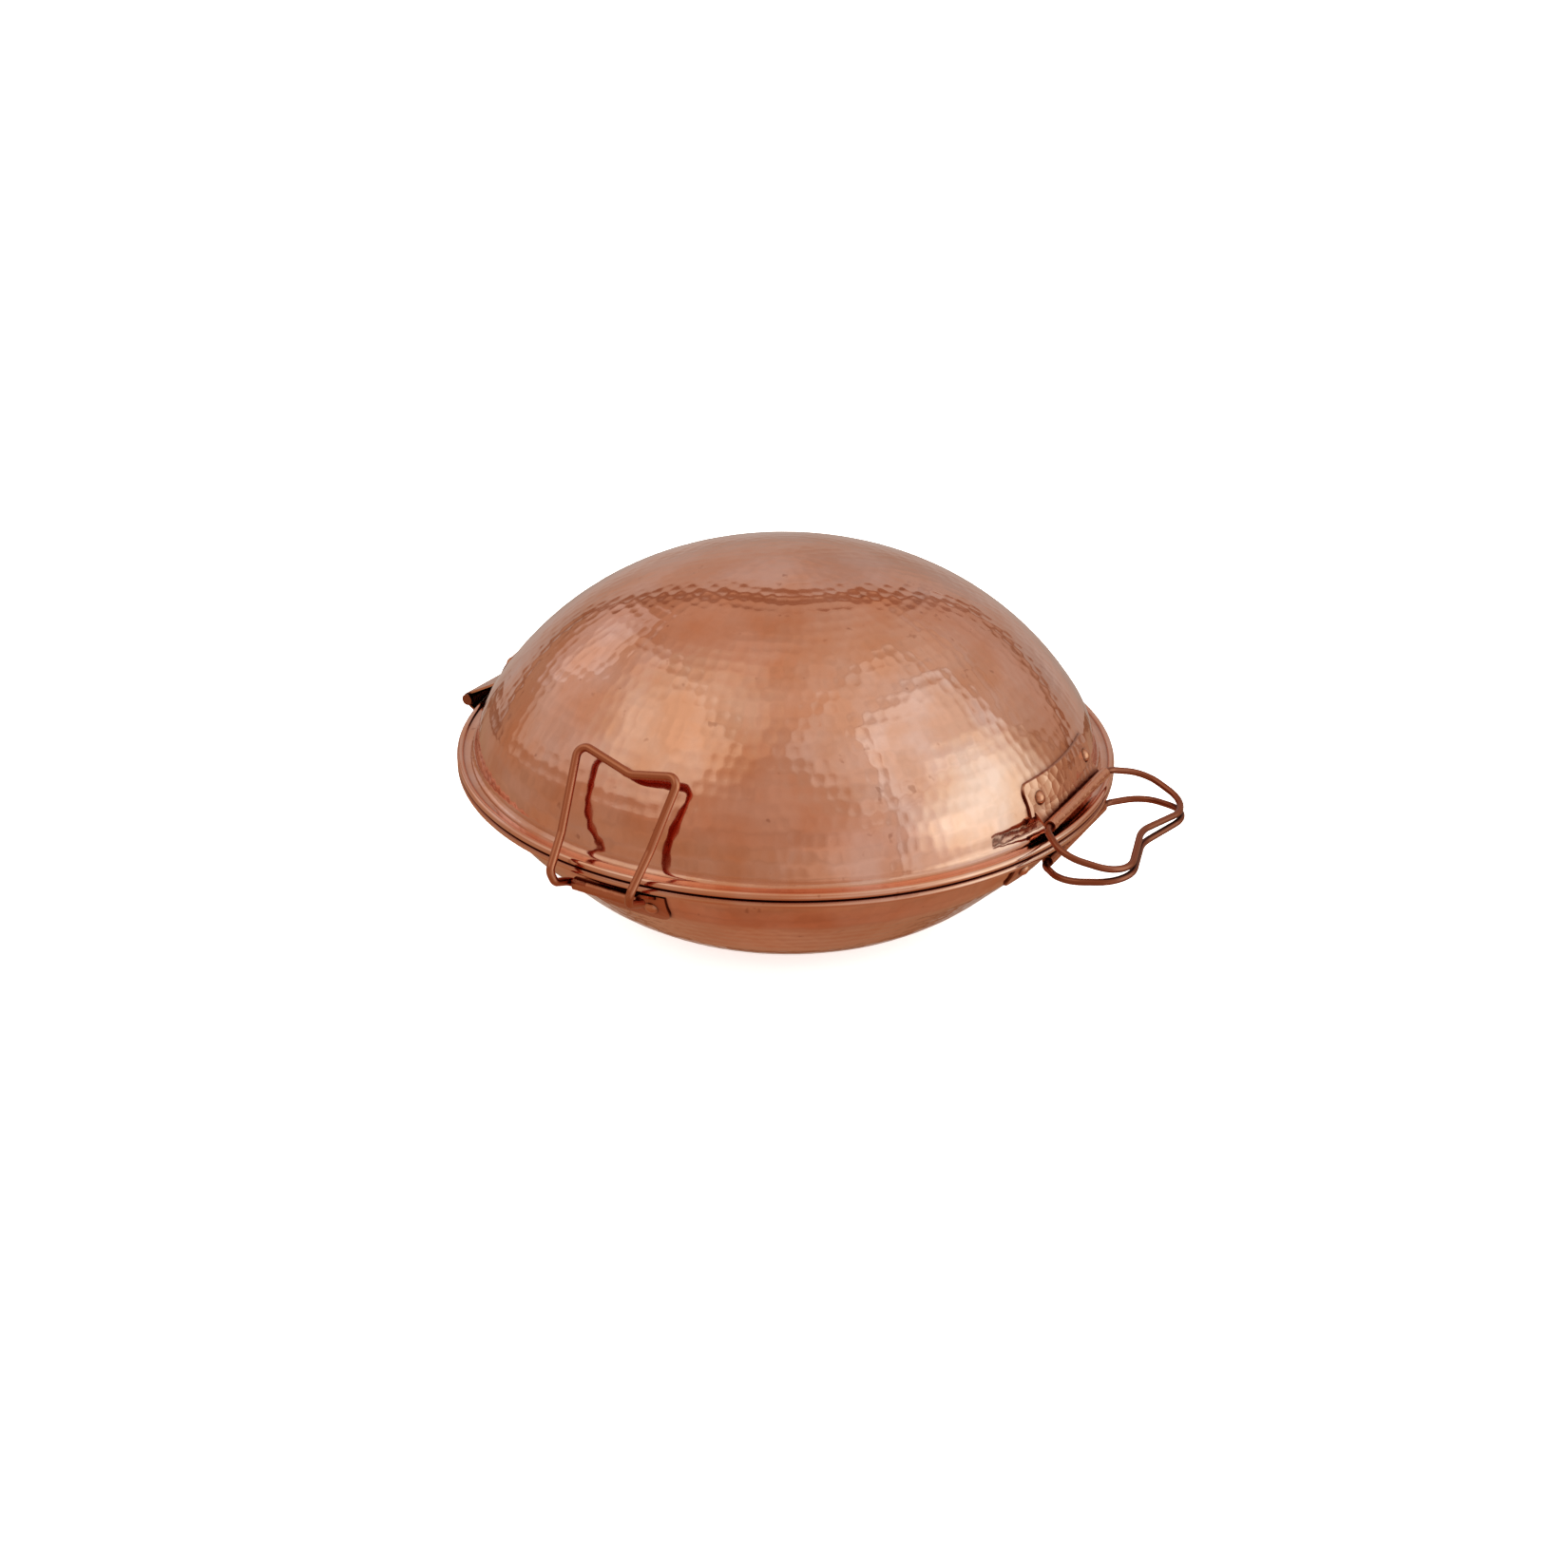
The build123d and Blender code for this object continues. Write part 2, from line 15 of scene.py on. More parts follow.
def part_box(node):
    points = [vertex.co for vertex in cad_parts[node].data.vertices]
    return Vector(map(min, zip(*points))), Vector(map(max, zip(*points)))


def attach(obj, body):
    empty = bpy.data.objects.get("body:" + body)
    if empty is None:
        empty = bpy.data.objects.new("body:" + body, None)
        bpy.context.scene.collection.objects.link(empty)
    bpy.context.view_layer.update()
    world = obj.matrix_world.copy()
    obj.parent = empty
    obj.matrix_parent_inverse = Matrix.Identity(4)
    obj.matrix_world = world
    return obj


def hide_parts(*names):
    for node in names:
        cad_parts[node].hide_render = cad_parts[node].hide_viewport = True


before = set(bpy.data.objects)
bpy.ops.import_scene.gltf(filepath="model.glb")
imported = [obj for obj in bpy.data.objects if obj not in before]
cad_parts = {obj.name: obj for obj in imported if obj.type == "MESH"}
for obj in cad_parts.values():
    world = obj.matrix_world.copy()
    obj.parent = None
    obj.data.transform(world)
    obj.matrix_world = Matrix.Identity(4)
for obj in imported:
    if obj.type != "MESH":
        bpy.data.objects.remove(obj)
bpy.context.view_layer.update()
MM = 0.001

# %% [markdown]
# The camera looks down at the pan from a little above, with the hinge far left, one latch facing it
# and the handles at the right. Working out its place from a distance and two angles keeps it easy to
# change. A camera object looks along its own -Z, so `to_track_quat` turns that axis at the pan.

# %% The camera
RIM_HEIGHT = (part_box("lower_shell")[1].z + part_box("upper_shell")[0].z) / 2
AZIMUTH, ELEVATION, ROLL = math.radians(-60.6), math.radians(25.06), math.radians(0.86)
DISTANCE = 1.0
FOCAL_LENGTH = 49.83
towards_camera = Vector((
    math.sin(AZIMUTH) * math.cos(ELEVATION),
    -math.cos(AZIMUTH) * math.cos(ELEVATION),
    math.sin(ELEVATION),
))
camera = bpy.data.objects.new("camera", bpy.data.cameras.new("camera"))
camera.data.lens = FOCAL_LENGTH
camera.data.sensor_width = 36
camera.data.shift_x, camera.data.shift_y = -0.0012, -0.026
camera.rotation_mode = "QUATERNION"
camera.location = Vector((0, 0, RIM_HEIGHT)) + towards_camera * DISTANCE
camera.rotation_quaternion = (-towards_camera).to_track_quat("-Z", "Y") @ Quaternion((0, 0, 1), ROLL)
bpy.context.scene.collection.objects.link(camera)
bpy.context.scene.camera = camera
print("camera at", [round(c, 3) for c in camera.location])

# %% [markdown]
# Shader colours are linear light, while a colour given here is an sRGB hex value. One function
# turns the second into the first. Another adds a shader node with its settings and links, so that a
# material reads as a list of steps, and a third starts a bare metal.

# %% Three helpers for materials


def linear(hex_colour):
    """Linear RGBA of an sRGB hex colour."""
    channels = [int(hex_colour[i:i + 2], 16) / 255 for i in (1, 3, 5)]
    return [c / 12.92 if c <= 0.04045 else ((c + 0.055) / 1.055) ** 2.4 for c in channels] + [1.0]


def add(tree, kind, inputs=None, **settings):
    """A new node; an input's value is a number, a colour, or the output that feeds it."""
    node = tree.nodes.new(kind)
    for name, value in settings.items():
        setattr(node, name, value)
    for name, value in (inputs or {}).items():
        if isinstance(value, bpy.types.NodeSocket):
            tree.links.new(value, node.inputs[name])
        else:
            node.inputs[name].default_value = value
    return node


def metal(name, colour, roughness):
    """A bare metal: the tree, and its shader, ready for a pattern."""
    material = bpy.data.materials.new(name)
    material.use_nodes = True
    shader = material.node_tree.nodes["Principled BSDF"]
    shader.inputs["Metallic"].default_value = 1.0
    shader.inputs["Base Color"].default_value = linear(colour)
    shader.inputs["Roughness"].default_value = roughness
    return material, material.node_tree, shader


print("copper is about", [round(c, 2) for c in linear("#F0A283")[:3]], "in linear light")

# %% [markdown]
# The two shells are copper sheet, raised over a stake and then planished: a smith goes round and
# round with a polished flat-faced hammer, and every blow leaves a shallow round facet. Buffed bright,
# each facet is a small mirror that shows the room its own way. The metal keeps the default IOR and a
# low roughness. A cloudy change in roughness and a bump finer than the blows stand for the haze
# that a buffing wheel leaves. In corners, creases and gaps a painted shade darkens the colour towards
# brown: an Ambient Occlusion node finds the corners, and a Mix node paints the shade there.

# %% Buffing, and painted shade in the corners


def buffed(tree, shader, haze_mm, roughness, depth):
    """Fine unevenness and a cloudy sheen, as a buffing wheel leaves them."""
    place = add(tree, "ShaderNodeTexCoord").outputs["Object"]
    cloud = add(tree, "ShaderNodeTexNoise", {"Vector": place, "Scale": 1 / (18 * MM), "Detail": 3.0})
    spread = add(tree, "ShaderNodeMapRange", {
        "Value": cloud.outputs["Fac"], "From Min": 0.3, "From Max": 0.7,
        "To Min": roughness * 0.75, "To Max": roughness * 1.35})
    tree.links.new(spread.outputs["Result"], shader.inputs["Roughness"])
    grain = add(tree, "ShaderNodeTexNoise", {"Vector": place, "Scale": 1 / (haze_mm * MM), "Detail": 2.0})
    bump = add(tree, "ShaderNodeBump", {
        "Height": grain.outputs["Fac"], "Strength": 0.4, "Distance": depth * MM})
    tree.links.new(bump.outputs["Normal"], shader.inputs["Normal"])
    return place, bump


def painted_corner_shade(tree, shader, bright, shade_colour, reach_mm):
    """Bright metal in the open, and painted shade, a darker brown, in corners and gaps."""
    open_sky = add(tree, "ShaderNodeAmbientOcclusion", {"Distance": reach_mm * MM}, samples=8)
    reached = add(tree, "ShaderNodeMapRange", {
        "Value": open_sky.outputs["AO"], "From Min": 0.68, "From Max": 0.98})
    mixed = add(tree, "ShaderNodeMix", {
        "Factor": reached.outputs["Result"], "A": linear(shade_colour), "B": bright}, data_type="RGBA")
    tree.links.new(mixed.outputs["Result"], shader.inputs["Base Color"])


# %% Planished polished copper
planished, tree, shader = metal("planished_polished_copper", "#F7C7AF", 0.1)
place, _ = buffed(tree, shader, haze_mm=3.0, roughness=0.1, depth=0.05)
warmth = add(tree, "ShaderNodeTexNoise", {"Vector": place, "Scale": 1 / (22 * MM), "Detail": 4.0})
warmth = add(tree, "ShaderNodeMapRange", {
    "Value": warmth.outputs["Fac"], "From Min": 0.35, "From Max": 0.65})
tint = add(tree, "ShaderNodeMix", {
    "Factor": warmth.outputs["Result"], "A": linear("#F2B697"), "B": linear("#F7CAB8")},
    data_type="RGBA")
flecks = add(tree, "ShaderNodeTexNoise", {"Vector": place, "Scale": 1 / (7 * MM), "Detail": 2.0})
flecks = add(tree, "ShaderNodeMapRange", {
    "Value": flecks.outputs["Fac"], "From Min": 0.7, "From Max": 0.76, "To Max": 0.4})
tint = add(tree, "ShaderNodeMix", {
    "Factor": flecks.outputs["Result"], "A": tint.outputs["Result"], "B": linear("#9C5A38")},
    data_type="RGBA")
# Painted shade: dark brown where the shell meets the plates, the rivets and the bead.
painted_corner_shade(tree, shader, tint.outputs["Result"], "#7E3420", reach_mm=2.5)
print("made", planished.name)

# %% [markdown]
# The plates are rolled copper sheet, tapped flat on the shell with small blows. A Voronoi texture
# gives each blow a cell, and the square of the distance from its middle is the shape of a dish.

# %% Rolled and tapped copper sheet
TAP_PITCH = 4.5
TAP_DEPTH = 0.32


def tapped_sheet(name, colour, roughness, shade_colour):
    material, tree, shader = metal(name, colour, roughness)
    place, grain = buffed(tree, shader, haze_mm=2.5, roughness=roughness, depth=0.06)
    cells = add(tree, "ShaderNodeTexVoronoi", {"Vector": place, "Scale": 1 / (TAP_PITCH * MM)})
    reach = cells.outputs["Distance"]
    dish = add(tree, "ShaderNodeMath", {0: reach, 1: reach}, operation="MULTIPLY")
    taps = add(tree, "ShaderNodeBump", {
        "Height": dish.outputs["Value"], "Strength": 1.0, "Distance": TAP_DEPTH * MM,
        "Normal": grain.outputs["Normal"]})
    tree.links.new(taps.outputs["Normal"], shader.inputs["Normal"])
    # Painted shade: the colour darkens towards brown at the plate's edges, around its rivets and under
    # its tube.
    painted_corner_shade(tree, shader, linear(colour), shade_colour, reach_mm=3.5)
    return material


rolled = tapped_sheet("rolled_copper_sheet", "#EFB497", 0.16, "#6E2A18")
# A darker copy of the same sheet, for the parts under the rim: painted shade for the shade that falls
# there.
shaded_sheet = tapped_sheet("shade_darkened_copper_sheet", "#D28A69", 0.24, "#5A2012")
print("made", rolled.name, "and", shaded_sheet.name)

# %% [markdown]
# The wires are the same copper, drawn instead of hammered, with a darker and redder colour. Painted shade
# browns them where other metal is near. On the bails it reaches so far that it paints the dome's
# dark-red reflection and shade on their side next to the dome. The rivets are cold-headed, and the
# lining is tin wiped on hot.

# %% Wire, rivets, steel and tin
def drawn_wire(name, colour, shade_colour, reach_mm):
    """Copper wire, with painted shade towards brown or dark red where other metal is close by."""
    material, tree, shader = metal(name, colour, 0.2)
    buffed(tree, shader, haze_mm=1.2, roughness=0.2, depth=0.04)
    painted_corner_shade(tree, shader, linear(colour), shade_colour, reach_mm)
    return material


# Handle loops and pin: painted shade in dark brown within 4 mm of other metal.
drawn = drawn_wire("drawn_copper_wire", "#A86850", "#4A1A10", reach_mm=4.0)
# Bails: painted shade and a painted reflection of the dome, in dark red, on the side that lies along it.
bail_dome_shaded = drawn_wire("bail_copper_wire_dome_shaded", "#C98464", "#A03A26", reach_mm=14.0)
RIVET_COLOUR = "#E6A482"
headed, tree, shader = metal("cold_headed_copper_rivet", RIVET_COLOUR, 0.2)
buffed(tree, shader, haze_mm=0.8, roughness=0.2, depth=0.05)
# Painted shade: near-black brown around and under the rivet heads.
painted_corner_shade(tree, shader, linear(RIVET_COLOUR), "#3A120A", reach_mm=3.0)
steel, tree, shader = metal("bare_steel_wire", "#9A9894", 0.35)
buffed(tree, shader, haze_mm=0.6, roughness=0.35, depth=0.02)
tinned, tree, shader = metal("wiped_tin_lining", "#D9D7D2", 0.32)
buffed(tree, shader, haze_mm=9.0, roughness=0.32, depth=0.12)
print("made", [m.name for m in (drawn, bail_dome_shaded, headed, steel, tinned)])

# %% [markdown]
# A raised shell is round, so its shape is one section turned about the upright axis. The section is
# written as arcs that meet at a shared slope, the way a template for the stake would be drawn, and
# then walked in small steps.

# %% Sections of the two shells, in millimetres from the axis and from the seam


def walk_arc(centre, radius, start, end, step):
    """Points along an arc, from one surface slope to another, both in degrees."""
    count = max(2, round(abs(radius * math.radians(end - start)) / step) + 1)
    slopes = np.radians(np.linspace(start, end, count))
    return np.stack([centre[0] + radius * np.sin(slopes), centre[1] + radius * np.cos(slopes)], 1)


def walk_line(start, end, step):
    count = max(2, round(math.dist(start, end) / step) + 1)
    return np.linspace(start, end, count)


def joined(*runs):
    """One list of points from runs that share their ends."""
    return np.concatenate([runs[0]] + [run[1:] for run in runs[1:]])


SHEET = 1.0
COVE = 4.0
FLANGE = 2.5
BEAD_CENTRE = (148.35, 1.8)
BEAD_RADIUS = 1.65
CROWN_CENTRE, CROWN_RADIUS, CROWN_SLOPE = (0, -88.05), 180.2, 21.94
SHOULDER_CENTRE, SHOULDER_RADIUS, SHOULDER_SLOPE = (13.0, -55.77), 145.4, 56.72
DOME_WALL_CENTRE, DOME_WALL_RADIUS = (101.12, 2.07), 40
PAN_DEPTH = 72.5
HEEL_CENTRE, HEEL_RADIUS, FLARE_SLOPE = (42, -21.5), 94, 45
PAN_WALL_CENTRE, PAN_WALL_RADIUS = (105.79, 5.22), 30
SKIN_STEP = 1.2


def wall_and_cove(centre, radius, start, offset, step):
    """The upright wall and the small cove that turns it out into the flange."""
    reach = radius + COVE
    end = math.degrees(math.acos((FLANGE + COVE - centre[1]) / reach))
    cove = (centre[0] + reach * math.sin(math.radians(end)), FLANGE + COVE)
    return joined(
        walk_arc(centre, radius + offset, start, end, step),
        walk_arc(cove, offset - COVE, end, 0, step))


def dome_section(offset, step):
    return joined(
        walk_arc(CROWN_CENTRE, CROWN_RADIUS + offset, 0, CROWN_SLOPE, step),
        walk_arc(SHOULDER_CENTRE, SHOULDER_RADIUS + offset, CROWN_SLOPE, SHOULDER_SLOPE, step),
        wall_and_cove(DOME_WALL_CENTRE, DOME_WALL_RADIUS, SHOULDER_SLOPE, offset, step))


def pan_section(offset, step):
    middle = (0, PAN_DEPTH + offset)
    heel = walk_arc(HEEL_CENTRE, HEEL_RADIUS + offset, 0, FLARE_SLOPE, step)
    wall = wall_and_cove(PAN_WALL_CENTRE, PAN_WALL_RADIUS, FLARE_SLOPE, offset, step)
    flare = walk_line(heel[-1], wall[0], step)
    return joined(walk_line(middle, heel[0], step), heel, flare, wall)


dome_outside = dome_section(0, SKIN_STEP)
pan_outside = pan_section(0, SKIN_STEP)
for name, section in (("dome", dome_outside), ("pan", pan_outside)):
    print(name, "section:", len(section), "points, ends at", section[-1].round(2))

# %% [markdown]
# The blows lie in rings, because the smith turns the shell under the hammer. Along a ring they are
# fairly even, but ring against ring they drift, so in places they line up in columns and elsewhere
# they sit like a honeycomb. Each one is a shallow dish. Where two dishes meet, they leave a ridge.

# %% Where the hammer fell
RING_PITCH = 6.2
BLOW_PITCH = 5.5
LARGEST_DRIFT = 0.5     # of ring against ring, as a share of the pitch
UNEVENNESS = 0.09       # of each blow's place, as a share of the pitch
rng = np.random.default_rng(7)


def blows_on(section):
    """Centres of the blows on a section: the lengths along it, and each blow's place along it and point
    in space.
    """
    lengths = np.concatenate([[0], np.cumsum(np.hypot(*np.diff(section, axis=0).T))])
    along, centres = [], []
    drift = 0.0
    for middle in np.arange(0, lengths[-1] + RING_PITCH, RING_PITCH):
        radius = np.interp(middle, lengths, section[:, 0])
        count = max(1, round(2 * math.pi * radius / BLOW_PITCH))
        drift += rng.uniform(0.0, LARGEST_DRIFT)
        turns = 2 * math.pi * (np.arange(count) + drift + rng.normal(0, UNEVENNESS, count)) / count
        places = middle + rng.normal(0, UNEVENNESS * RING_PITCH, count)
        radii, heights = (np.interp(places, lengths, section[:, axis]) for axis in (0, 1))
        along.append(places)
        centres.append(np.stack([radii * np.cos(turns), radii * np.sin(turns), heights], 1))
    return lengths, np.concatenate(along), np.concatenate(centres)


dome_blows = blows_on(dome_outside)
pan_blows = blows_on(pan_outside)
print(len(dome_blows[1]), "blows on the lid,", len(pan_blows[1]), "on the pan")

# %% [markdown]
# The skin is a grid of rings. Near the middle a ring is short, so it gets fewer points, and the count
# doubles twice on the way out. Each point then sinks by the depth of the deepest dish over it. The
# dishes are real geometry and not a bump, so they break up the outline as well.

# %% The hammered skins
DISH_RADIUS = 44.0
DISH_DEPTH = 0.12
DEPTH_SPREAD = 0.02
NEAR = 12               # blows further off along the section than this can't touch a ring
FADE = 6                # the dishes die out over this length, before the flange
FEWEST_POINTS = 192
SHORT_RING, MIDDLE_RING = 36, 72


def points_round(radius):
    """How many points a ring gets, doubled twice on the way out."""
    return FEWEST_POINTS * (1 if radius < SHORT_RING else 2 if radius < MIDDLE_RING else 4)


def sunk(points, length, blows, depths):
    """How far each point of a ring sinks under the blows near it."""
    _, along, centres = blows
    near = np.abs(along - length) < NEAR
    gaps = np.linalg.norm(points[:, None, :] - centres[None, near, :], axis=2)
    dish = depths[near][None, :] - gaps ** 2 / (2 * DISH_RADIUS)
    return np.clip(dish.max(axis=1), 0, None)


def hammered_skin(name, section, blows, upward):
    lengths, _, _ = blows
    slopes = np.gradient(section, axis=0)
    slopes /= np.linalg.norm(slopes, axis=1)[:, None]
    depths = DISH_DEPTH + rng.normal(0, DEPTH_SPREAD, len(blows[1]))
    rows, vertices, faces = [], [], []
    for (radius, height), (run, rise), length in zip(section, slopes, lengths):
        if radius < 0.01:
            rows.append([len(vertices)])
            vertices.append((0, 0, height - DISH_DEPTH))
            continue
        count = points_round(radius)
        turns = np.arange(count) * 2 * math.pi / count
        ring = np.stack([radius * np.cos(turns), radius * np.sin(turns), np.full(count, height)], 1)
        sink = sunk(ring, length, blows, depths) * np.clip((lengths[-1] - length) / FADE, 0, 1)
        ring[:, 0] += sink * rise * np.cos(turns)
        ring[:, 1] += sink * rise * np.sin(turns)
        ring[:, 2] -= sink * run
        rows.append(list(range(len(vertices), len(vertices) + count)))
        vertices.extend(ring)
    for inner, outer in zip(rows, rows[1:]):
        share = len(outer) // len(inner)
        if len(inner) == 1:
            faces += [(inner[0], a, b) for a, b in zip(outer, outer[1:] + outer[:1])]
            continue
        for i, a in enumerate(inner):
            edge = [outer[(i * share + j) % len(outer)] for j in range(share + 1)]
            faces.append((a, *edge, inner[(i + 1) % len(inner)]))
    return mesh_piece(name, vertices, faces, upward)


def mesh_piece(name, vertices, faces, upward):
    """A smooth mesh from points in millimetres above or below the seam."""
    side = 1 if upward else -1
    mesh = bpy.data.meshes.new(name)
    mesh.from_pydata([(x * MM, y * MM, RIM_HEIGHT + side * z * MM) for x, y, z in vertices], [],
                     faces if upward else [face[::-1] for face in faces])
    mesh.shade_smooth()
    piece = bpy.data.objects.new(name, mesh)
    bpy.context.scene.collection.objects.link(piece)
    return piece


def dress(piece, material, body, node):
    """Finish, slot and body of one piece, and the node that it stands for."""
    piece.data.materials.append(material)
    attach(piece, body)
    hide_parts(node)


dome_skin = hammered_skin("dome_skin", dome_outside, dome_blows, True)
pan_skin = hammered_skin("pan_skin", pan_outside, pan_blows, False)
dress(dome_skin, planished, "lid", "upper_shell")
dress(pan_skin, planished, "pan", "lower_shell")
print("skins:", len(dome_skin.data.polygons), "and", len(pan_skin.data.polygons), "faces")

# %% [markdown]
# The rim of each shell is turned out flat and rolled over a steel wire, which leaves a bead. It is
# rolled by hand with a mallet, so the flange and the bead wander by a tenth of a millimetre. That is
# what makes the long highlights on them wobble. The lining is the inner face of the same sheet.

# %% Rims and linings
RIM_WANDER = 0.06
WAVES_ROUND = (9, 14, 23, 37)
PHASE_LIMIT = 6.3       # about a full turn, in radians
RIM_POINTS, LINING_POINTS = 720, 192
LINING_STEP = 3.0
FLANGE_ROWS, BEAD_ROWS = 10, 36
TUCK_ANGLE = -170       # where the rolled bead meets the sheet again
HIDDEN_SHARE = 0.4      # of the wander, for the half of the bead next to the seam


def turned(name, profile, count, upward, wander=0.0):
    """A profile turned about the axis, wandering a little in height along the way."""
    turns = np.arange(count) * 2 * math.pi / count
    waves = sum(rng.uniform(0.3, 1) * np.sin(k * turns + rng.uniform(0, PHASE_LIMIT))
                for k in WAVES_ROUND)
    lift = -wander * (1 + waves / len(WAVES_ROUND))
    vertices = [(r * math.cos(t), r * math.sin(t), z + dz)
                for (r, z, share) in profile for t, dz in zip(turns, lift * share)]
    faces = [(row * count + i, (row + 1) * count + i, (row + 1) * count + (i + 1) % count,
              row * count + (i + 1) % count)
             for row in range(len(profile) - 1) for i in range(count)]
    return mesh_piece(name, vertices, faces, upward)


def rim_profile(section):
    """Flange, crease, bead, and the tuck behind it; the third number is its share of the wander."""
    start = section[-1]
    crease = BEAD_CENTRE[0] - math.sqrt(BEAD_RADIUS ** 2 - (FLANGE - BEAD_CENTRE[1]) ** 2)
    reaches, shares = np.linspace(start[0], crease, FLANGE_ROWS), np.linspace(0, 1, FLANGE_ROWS)
    flange = [(r, FLANGE, share) for r, share in zip(reaches, shares)]
    rolled_edge = math.degrees(math.asin((FLANGE - BEAD_CENTRE[1]) / BEAD_RADIUS))
    bead = [(BEAD_CENTRE[0] + BEAD_RADIUS * math.cos(a), BEAD_CENTRE[1] + BEAD_RADIUS * math.sin(a),
             1 if a > 0 else HIDDEN_SHARE)
            for a in np.radians(np.linspace(180 - rolled_edge, TUCK_ANGLE, BEAD_ROWS))]
    return flange + bead


SHELLS = [
    ("dome", dome_section, "lid", "upper_shell", True),
    ("pan", pan_section, "pan", "lower_shell", False),
]
for shell, section, body, node, upward in SHELLS:
    profile = rim_profile(section(0, SKIN_STEP))
    rim = turned(f"{shell}_rim", profile, RIM_POINTS, upward, wander=RIM_WANDER)
    dress(rim, planished, body, node)
    inside = [(r, z, 0) for r, z in section(-SHEET, LINING_STEP)]
    inside.append((BEAD_CENTRE[0] - BEAD_RADIUS, FLANGE - SHEET, 0))
    lining = turned(f"{shell}_lining", inside[::-1], LINING_POINTS, upward)
    dress(lining, tinned, body, node)
    print(shell, "rim and lining:", len(rim.data.polygons), len(lining.data.polygons), "faces")

# %% [markdown]
# Handles and latches are hard-drawn wire, bent round pegs. A Bezier curve with a round bevel is that
# wire: each bend is an arc between two straight runs, so it needs two points and their handles.

# %% Bent wires


def bent_wire(name, points, bends, radius, material, body, node):
    """A round wire along straight runs, joined by arcs of the radii given."""
    corners = [Vector(p) * MM + Vector((0, 0, RIM_HEIGHT)) for p in points]
    stations = [(corners[0], None, None)]
    for before, corner, after, bend in zip(corners, corners[1:], corners[2:], bends):
        back, ahead = (before - corner).normalized(), (after - corner).normalized()
        turn = math.pi - back.angle(ahead)
        setback = bend * MM * math.tan(turn / 2)
        pull = bend * MM * math.tan(turn / 4) * 4 / 3
        stations.append((corner + back * setback, None, corner + back * (setback - pull)))
        stations.append((corner + ahead * setback, corner + ahead * (setback - pull), None))
    stations.append((corners[-1], None, None))
    curve = bpy.data.curves.new(name, "CURVE")
    curve.dimensions = "3D"
    curve.bevel_depth, curve.bevel_resolution = radius * MM, 8
    curve.resolution_u, curve.use_fill_caps = 10, True
    spline = curve.splines.new("BEZIER")
    spline.bezier_points.add(len(stations) - 1)
    for point, (place, left, right) in zip(spline.bezier_points, stations):
        point.co = place
        point.handle_left_type = "FREE" if left else "VECTOR"
        point.handle_right_type = "FREE" if right else "VECTOR"
    for point, (place, left, right) in zip(spline.bezier_points, stations):
        if left:
            point.handle_left = left
        if right:
            point.handle_right = right
    piece = bpy.data.objects.new(name, curve)
    bpy.context.scene.collection.objects.link(piece)
    dress(piece, material, body, node)


# %% [markdown]
# Each handle is a kidney-shaped loop whose two ends meet inside the rolled tube of its bracket.

# %% Handle loops
LOOP_HALF = [(0.5, 0), (33.9, 0), (46.1, 13.1), (37.0, 40.1)]
LOOP_DIP = (0, 30.4)
LOOP_SIDE_BENDS = [8.5, 15, 14.8]
LOOP_BENDS = LOOP_SIDE_BENDS + [20.9] + LOOP_SIDE_BENDS[::-1]
LOOP_WIRE_RADIUS = 1.5
HANDLE_TUBE_REACH = 144.4


def handle_loop(name, height, tilt, body, node):
    out = Vector((0, -math.cos(math.radians(tilt)), math.sin(math.radians(tilt))))
    flat = LOOP_HALF + [LOOP_DIP] + [(-x, y) for x, y in LOOP_HALF[::-1]]
    points = [Vector((x, -HANDLE_TUBE_REACH, height)) + out * y for x, y in flat]
    bent_wire(name, points, LOOP_BENDS, LOOP_WIRE_RADIUS, drawn, body, node)


handle_loop("upper_handle_wire", 8.8, -14, "handle_upper", "handle_loop_upper")
handle_loop("lower_handle_wire", -7.8, 6.3, "handle_lower", "handle_loop_lower")
print("two handles")

# %% [markdown]
# A latch bail leaves its tube under the rim, goes round the bead, and lies along the dome. Both feet
# are bent alike, but the top was bent by hand, so its two sides differ a little.

# %% Latch bails
# Distance from the axis, distance along the rim, and height above the seam.
BAIL_FOOT = [(147.6, 0.5, -8.3), (147.6, 18.3, -8.3), (158.1, 18.0, -3.8), (159.6, 19.4, 1.5)]
BAIL_TOP = [
    (148.3, 21.1, 13.8), (126.2, 26.6, 44.5), (130.8, -1.8, 38.6), (130.9, -25.4, 43.5),
    (147.4, -21.4, 16.1)]
BAIL_PATH = BAIL_FOOT + BAIL_TOP + [(reach, -along, z) for reach, along, z in BAIL_FOOT[::-1]]
BAIL_SIDE_BENDS = [2.8, 3.5, 4, 12, 4]
BAIL_BENDS = BAIL_SIDE_BENDS + [9] + BAIL_SIDE_BENDS[::-1]
BAIL_WIRE_RADIUS = 1.8


def latch_bail(name, side, body, node):
    points = [(side * reach, -side * along, height) for reach, along, height in BAIL_PATH]
    bent_wire(name, points, BAIL_BENDS, BAIL_WIRE_RADIUS, bail_dome_shaded, body, node)


latch_bail("left_latch_wire", -1, "latch_left", "latch_bail_left")
latch_bail("right_latch_wire", 1, "latch_right", "latch_bail_right")
print("two bails")

# %% [markdown]
# The plates, leaves, pin and rivets already have their true shape, so they only need their finish.

# %% Finishes of the ready pieces
# The latch parts and the lower plates sit under the rim and take the darker sheet as painted shade.
for node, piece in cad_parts.items():
    finish = (headed if "rivets" in node else steel if "rim_wire" in node else
              drawn if "pin" in node else
              shaded_sheet if "latch" in node or "lower" in node else rolled)
    if hasattr(piece, "data"):
        piece.data.materials.clear()
        piece.data.materials.append(finish)
print("finished", len(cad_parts), "nodes")

# %% [markdown]
# Polished metal is mostly what it reflects, so the room matters as much as the copper. It is painted
# on the world by direction: warm walls, a paler ceiling and a browner floor. A Color Ramp read with
# the height of the ray is the simplest way to paint such bands.

